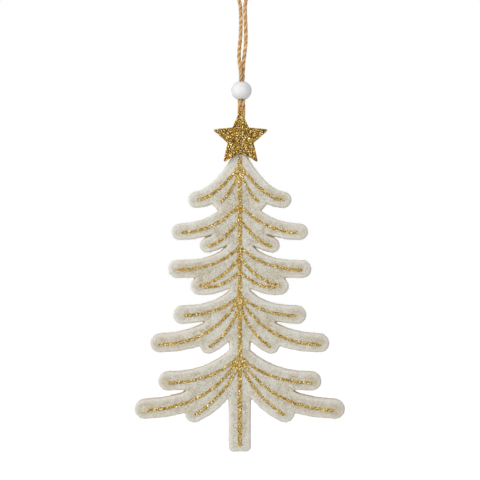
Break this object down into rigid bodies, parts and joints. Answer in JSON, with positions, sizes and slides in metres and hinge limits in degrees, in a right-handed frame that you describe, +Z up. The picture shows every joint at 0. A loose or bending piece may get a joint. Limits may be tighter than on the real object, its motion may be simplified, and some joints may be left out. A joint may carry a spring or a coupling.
{
  "type": "felt christmas ornament",
  "caption": "Flat felt Christmas tree with raised gold glitter veins, a glitter star, and a bead on its hanging twine loop.",
  "frame": {"origin": "inside the top of the hanging loop, where it rests on its hook", "axes": "+Z up along the hung ornament, -Y out of the decorated face, +X to the viewer's right"},
  "size_m": [0.1022, 0.0113, 0.2296],
  "materials": {
    "felt": "thick wool felt, cream with beige and pale grey mottle",
    "board": "fibreboard with a scorched laser-cut edge",
    "gold_glitter": "fine gold glitter in a clear binder",
    "star_board": "stiff board, edges dusted with gold glitter",
    "star_glitter": "coarse gold glitter",
    "glue": "set hot glue, cloudy",
    "twine": "two-ply jute twine",
    "bead_paint": "satin white paint on wood"
  },
  "bodies": {
    "hanger": {"twine_loop": "twine"},
    "bead": {"bead": "bead_paint"},
    "neck": {"twine_neck_left": "twine", "twine_neck_right": "twine"},
    "tree": {"core_board": "board", "front_felt": "felt", "back_felt": "felt", "glitter_tier_1": "gold_glitter", "glitter_tier_2": "gold_glitter", "glitter_tier_3": "gold_glitter", "glitter_tier_4": "gold_glitter", "glitter_tier_5": "gold_glitter", "star_base": "star_board", "star_glitter": "star_glitter", "star_glue_pad": "glue", "slot_glue": "glue", "twine_tail_left": "twine", "twine_tail_right": "twine"}
  },
  "joints": [
    {"name": "bead_slide", "type": "slide", "parent": "hanger", "child": "bead", "axis": [0, 0, 1], "range_m": [-0.004, 0.034], "deforming": ["twine_loop"]},
    {"name": "twine_twist", "type": "hinge", "parent": "hanger", "child": "neck", "pos_m": [0, 0, -0.0531], "axis": [0, 0, 1], "range_deg": [-180, 180]},
    {"name": "tree_tilt", "type": "hinge", "parent": "neck", "child": "tree", "pos_m": [0, 0, -0.0624], "axis": [1, 0, 0], "range_deg": [-30, 30]}
  ]
}
